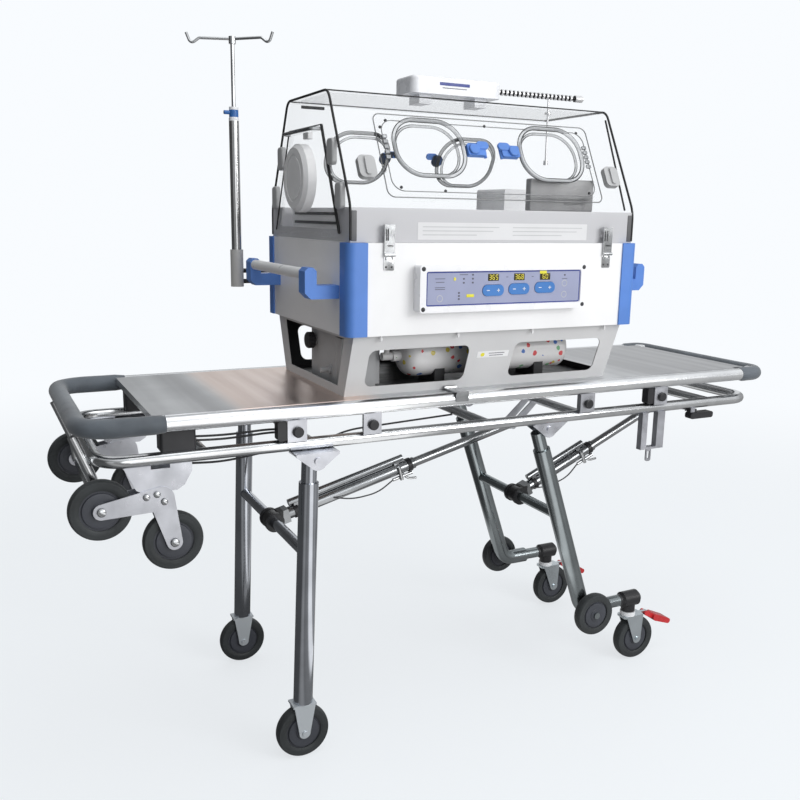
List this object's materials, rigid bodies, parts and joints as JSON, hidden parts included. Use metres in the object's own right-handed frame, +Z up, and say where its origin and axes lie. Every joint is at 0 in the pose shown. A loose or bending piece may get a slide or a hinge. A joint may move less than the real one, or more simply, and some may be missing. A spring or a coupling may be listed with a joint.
{
  "type": "transport infant incubator on a folding stretcher",
  "caption": "Clear-hooded infant transport incubator with hand ports, control panel and gas bottle base, latched on a folding ambulance stretcher with wheels, braces and a drip pole.",
  "frame": {"origin": "on the floor, under the middle of the litter frame", "axes": "+X to the swivel-wheel end, -Y to the control panel side, +Z up"},
  "size_m": [1.941, 0.624, 1.7293],
  "materials": {
    "zinc": "satin",
    "chrome": "polished",
    "foam": "matt foam",
    "deck": "brushed",
    "black": "matt",
    "black_wheel": "matt",
    "red": "gloss",
    "body_grey": "satin",
    "base_grey": "satin",
    "blue": "satin",
    "white": "gloss",
    "panel": "satin",
    "key": "satin",
    "clear": "clear acrylic",
    "mattress": "smooth cover",
    "bottle": "gloss",
    "grey_box": "satin",
    "lamp": "gloss",
    "steel": "satin"
  },
  "bodies": {
    "stretcher": {"litter_frame": "zinc", "foam_grips": "foam", "deck_plate": "deck", "frame_brackets": "zinc", "bracket_knobs": "black", "undercarriage_frame": "zinc", "release_cable": "black", "base_frame": "base_grey", "gas_box": "grey_box", "oxygen_cylinder": "bottle", "body_shell": "body_grey", "corner_columns": "blue", "handle_bars": "white", "control_panel": "panel", "mattress_tray": "white", "mattress": "mattress", "iv_pole_lower": "steel"},
    "hood": {"hood_shell": "clear", "lamp_unit": "lamp", "gooseneck": "steel"},
    "release_grip": {"release_grip": "black"},
    "left_legs": {"left_legs": "chrome"},
    "left_brace_tube": {"left_brace_tube": "zinc"},
    "left_brace_rod": {"left_brace_rod": "chrome"},
    "right_legs": {"right_legs": "chrome"},
    "right_brace_tube": {"right_brace_tube": "zinc"},
    "right_brace_rod": {"right_brace_rod": "chrome"},
    "left_wheel_front": {"left_wheel_front": "black_wheel"},
    "left_wheel_rear": {"left_wheel_rear": "black_wheel"},
    "caster_fork_front": {"caster_fork_front": "zinc"},
    "caster_fork_rear": {"caster_fork_rear": "zinc"},
    "caster_wheel_front": {"caster_wheel_front": "black_wheel"},
    "caster_wheel_rear": {"caster_wheel_rear": "black_wheel"},
    "brake_pedal_front": {"brake_pedal_front": "red"},
    "brake_pedal_rear": {"brake_pedal_rear": "red"},
    "guide_wheel_front": {"guide_wheel_front": "black_wheel"},
    "guide_wheel_rear": {"guide_wheel_rear": "black_wheel"},
    "loading_wheel_outer_front": {"loading_wheel_outer_front": "black_wheel"},
    "loading_wheel_outer_rear": {"loading_wheel_outer_rear": "black_wheel"},
    "loading_wheel_inner_front": {"loading_wheel_inner_front": "black_wheel"},
    "loading_wheel_inner_rear": {"loading_wheel_inner_rear": "black_wheel"},
    "gas_knob": {"gas_knob": "black"},
    "key_pad_left": {"key_pad_left": "key"},
    "key_pad_middle": {"key_pad_middle": "key"},
    "key_pad_right": {"key_pad_right": "key"},
    "front_door": {"front_door": "clear"},
    "end_door": {"end_door": "clear"},
    "front_port_left": {"front_port_left": "clear"},
    "front_port_right": {"front_port_right": "clear"},
    "rear_port_left": {"rear_port_left": "clear"},
    "rear_port_right": {"rear_port_right": "clear"},
    "port_latch_left": {"port_latch_left": "blue"},
    "port_latch_right": {"port_latch_right": "blue"},
    "end_port": {"end_port": "grey_box"},
    "door_knob_left": {"door_knob_left": "grey_box"},
    "door_knob_right": {"door_knob_right": "grey_box"},
    "hood_latch_left": {"hood_latch_left": "steel"},
    "hood_latch_right": {"hood_latch_right": "steel"},
    "deck_latch": {"deck_latch": "steel"},
    "iv_pole_upper": {"iv_pole_upper": "steel"}
  },
  "joints": [
    {"name": "left_leg_fold", "type": "hinge", "parent": "stretcher", "child": "left_legs", "pos_m": [-0.445, 0, 0.738], "axis": [0, -1, 0], "range_deg": [0, 79]},
    {"name": "right_leg_fold", "type": "hinge", "parent": "stretcher", "child": "right_legs", "pos_m": [0.222, 0, 0.738], "axis": [0, -1, 0], "range_deg": [0, 55.5]},
    {"name": "left_brace_turn", "type": "hinge", "parent": "left_legs", "child": "left_brace_tube", "pos_m": [-0.46492, 0, 0.51156], "axis": [0, -1, 0], "range_deg": [-91.5, 0]},
    {"name": "left_brace_slide", "type": "slide", "parent": "left_brace_tube", "child": "left_brace_rod", "axis": [0.967, 0, 0.2549], "range_m": [-0.2645, 0]},
    {"name": "right_brace_turn", "type": "hinge", "parent": "right_legs", "child": "right_brace_tube", "pos_m": [0.28396, 0, 0.48435], "axis": [0, -1, 0], "range_deg": [-69.5, 0]},
    {"name": "right_brace_slide", "type": "slide", "parent": "right_brace_tube", "child": "right_brace_rod", "axis": [0.9121, 0, 0.4099], "range_m": [-0.2245, 0]},
    {"name": "left_wheel_spin_front", "type": "hinge", "parent": "left_legs", "child": "left_wheel_front", "pos_m": [-0.479, -0.256, 0.065], "axis": [0, 1, 0], "continuous": true},
    {"name": "caster_swivel_front", "type": "hinge", "parent": "right_legs", "child": "caster_fork_front", "pos_m": [0.556, -0.207, 0.165], "axis": [0, 0, 1], "continuous": true},
    {"name": "caster_wheel_spin_front", "type": "hinge", "parent": "caster_fork_front", "child": "caster_wheel_front", "pos_m": [0.582, -0.207, 0.065], "axis": [0, 1, 0], "continuous": true},
    {"name": "brake_pedal_tilt_front", "type": "hinge", "parent": "caster_fork_front", "child": "brake_pedal_front", "pos_m": [0.62, -0.207, 0.134], "axis": [0, 1, 0], "range_deg": [0, 10]},
    {"name": "guide_wheel_spin_front", "type": "hinge", "parent": "right_legs", "child": "guide_wheel_front", "pos_m": [0.395, -0.247, 0.19], "axis": [0, 1, 0], "continuous": true},
    {"name": "loading_outer_spin_front", "type": "hinge", "parent": "stretcher", "child": "loading_wheel_outer_front", "pos_m": [-0.91, -0.223, 0.669], "axis": [0, 1, 0], "continuous": true},
    {"name": "loading_inner_spin_front", "type": "hinge", "parent": "stretcher", "child": "loading_wheel_inner_front", "pos_m": [-0.762, -0.223, 0.581], "axis": [0, 1, 0], "continuous": true},
    {"name": "left_wheel_spin_rear", "type": "hinge", "parent": "left_legs", "child": "left_wheel_rear", "pos_m": [-0.479, 0.256, 0.065], "axis": [0, 1, 0], "continuous": true},
    {"name": "caster_swivel_rear", "type": "hinge", "parent": "right_legs", "child": "caster_fork_rear", "pos_m": [0.556, 0.207, 0.165], "axis": [0, 0, 1], "continuous": true},
    {"name": "caster_wheel_spin_rear", "type": "hinge", "parent": "caster_fork_rear", "child": "caster_wheel_rear", "pos_m": [0.582, 0.207, 0.065], "axis": [0, 1, 0], "continuous": true},
    {"name": "brake_pedal_tilt_rear", "type": "hinge", "parent": "caster_fork_rear", "child": "brake_pedal_rear", "pos_m": [0.62, 0.207, 0.134], "axis": [0, 1, 0], "range_deg": [0, 10]},
    {"name": "guide_wheel_spin_rear", "type": "hinge", "parent": "right_legs", "child": "guide_wheel_rear", "pos_m": [0.395, 0.247, 0.19], "axis": [0, 1, 0], "continuous": true},
    {"name": "loading_outer_spin_rear", "type": "hinge", "parent": "stretcher", "child": "loading_wheel_outer_rear", "pos_m": [-0.91, 0.223, 0.669], "axis": [0, 1, 0], "continuous": true},
    {"name": "loading_inner_spin_rear", "type": "hinge", "parent": "stretcher", "child": "loading_wheel_inner_rear", "pos_m": [-0.762, 0.223, 0.581], "axis": [0, 1, 0], "continuous": true},
    {"name": "release_grip_pull", "type": "hinge", "parent": "stretcher", "child": "release_grip", "pos_m": [0.703, -0.238, 0.75], "axis": [0, 1, 0], "range_deg": [0, 10], "stiffness_Nm_per_rad": 1, "springref_deg": -5.73},
    {"name": "hood_tilt", "type": "hinge", "parent": "stretcher", "child": "hood", "pos_m": [0.028, 0.273, 1.228], "axis": [-1, 0, 0], "range_deg": [0, 60]},
    {"name": "front_door_drop", "type": "hinge", "parent": "hood", "child": "front_door", "pos_m": [0.028, -0.2642, 1.31714], "axis": [1, 0, 0], "range_deg": [0, 110]},
    {"name": "front_port_swing_left", "type": "hinge", "parent": "front_door", "child": "front_port_left", "pos_m": [-0.241, -0.21043, 1.43453], "axis": [0, -0.4541, -0.8909], "range_deg": [0, 110]},
    {"name": "front_port_swing_right", "type": "hinge", "parent": "front_door", "child": "front_port_right", "pos_m": [0.297, -0.21043, 1.43453], "axis": [0, 0.4541, 0.8909], "range_deg": [0, 110]},
    {"name": "port_latch_lift_left", "type": "hinge", "parent": "front_door", "child": "port_latch_left", "pos_m": [0.005, -0.21043, 1.43453], "axis": [0, 0.4541, 0.8909], "range_deg": [0, 40]},
    {"name": "port_latch_lift_right", "type": "hinge", "parent": "front_door", "child": "port_latch_right", "pos_m": [0.051, -0.21043, 1.43453], "axis": [0, -0.4541, -0.8909], "range_deg": [0, 40]},
    {"name": "rear_port_swing_left", "type": "hinge", "parent": "hood", "child": "rear_port_left", "pos_m": [-0.241, 0.20562, 1.43207], "axis": [0, -0.4541, 0.8909], "range_deg": [0, 110]},
    {"name": "rear_port_swing_right", "type": "hinge", "parent": "hood", "child": "rear_port_right", "pos_m": [0.297, 0.20562, 1.43207], "axis": [0, 0.4541, -0.8909], "range_deg": [0, 110]},
    {"name": "end_door_drop", "type": "hinge", "parent": "hood", "child": "end_door", "pos_m": [-0.3694, 0, 1.2345], "axis": [0, -1, 0], "range_deg": [0, 90]},
    {"name": "end_port_swing", "type": "hinge", "parent": "end_door", "child": "end_port", "pos_m": [-0.3758, 0.084, 1.366], "axis": [0, 0, -1], "range_deg": [0, 100]},
    {"name": "door_knob_turn_left", "type": "hinge", "parent": "hood", "child": "door_knob_left", "pos_m": [-0.312, -0.22667, 1.38108], "axis": [0, -0.8909, 0.4541], "range_deg": [0, 90]},
    {"name": "hood_latch_release_left", "type": "hinge", "parent": "stretcher", "child": "hood_latch_left", "pos_m": [-0.276, -0.2854, 1.196], "axis": [1, 0, 0], "range_deg": [0, 120]},
    {"name": "door_knob_turn_right", "type": "hinge", "parent": "hood", "child": "door_knob_right", "pos_m": [0.368, -0.22667, 1.38108], "axis": [0, -0.8909, 0.4541], "range_deg": [0, 90]},
    {"name": "hood_latch_release_right", "type": "hinge", "parent": "stretcher", "child": "hood_latch_right", "pos_m": [0.332, -0.2854, 1.196], "axis": [1, 0, 0], "range_deg": [0, 120]},
    {"name": "deck_latch_lift", "type": "hinge", "parent": "stretcher", "child": "deck_latch", "pos_m": [-0.071, -0.213, 0.8696], "axis": [-1, 0, 0], "range_deg": [0, 60]},
    {"name": "gas_knob_turn", "type": "hinge", "parent": "stretcher", "child": "gas_knob", "pos_m": [-0.3334, 0.04, 0.966], "axis": [-1, 0, 0], "range_deg": [0, 270]},
    {"name": "iv_pole_height", "type": "slide", "parent": "stretcher", "child": "iv_pole_upper", "axis": [0, 0, 1], "range_m": [-0.14, 0.15]},
    {"name": "key_press_left", "type": "slide", "parent": "stretcher", "child": "key_pad_left", "axis": [0, 1, 0], "range_m": [0, 0.001], "stiffness_N_per_m": 400, "springref_m": -0.002},
    {"name": "key_press_middle", "type": "slide", "parent": "stretcher", "child": "key_pad_middle", "axis": [0, 1, 0], "range_m": [0, 0.001], "stiffness_N_per_m": 400, "springref_m": -0.002},
    {"name": "key_press_right", "type": "slide", "parent": "stretcher", "child": "key_pad_right", "axis": [0, 1, 0], "range_m": [0, 0.001], "stiffness_N_per_m": 400, "springref_m": -0.002}
  ],
  "couplings": [
    {"joint": "left_brace_turn", "follows": "left_leg_fold", "ratio": -1.1493},
    {"joint": "left_brace_slide", "follows": "left_leg_fold", "m_per_rad": -0.19014},
    {"joint": "right_brace_turn", "follows": "right_leg_fold", "ratio": -1.2392},
    {"joint": "right_brace_slide", "follows": "right_leg_fold", "m_per_rad": -0.23101}
  ]
}
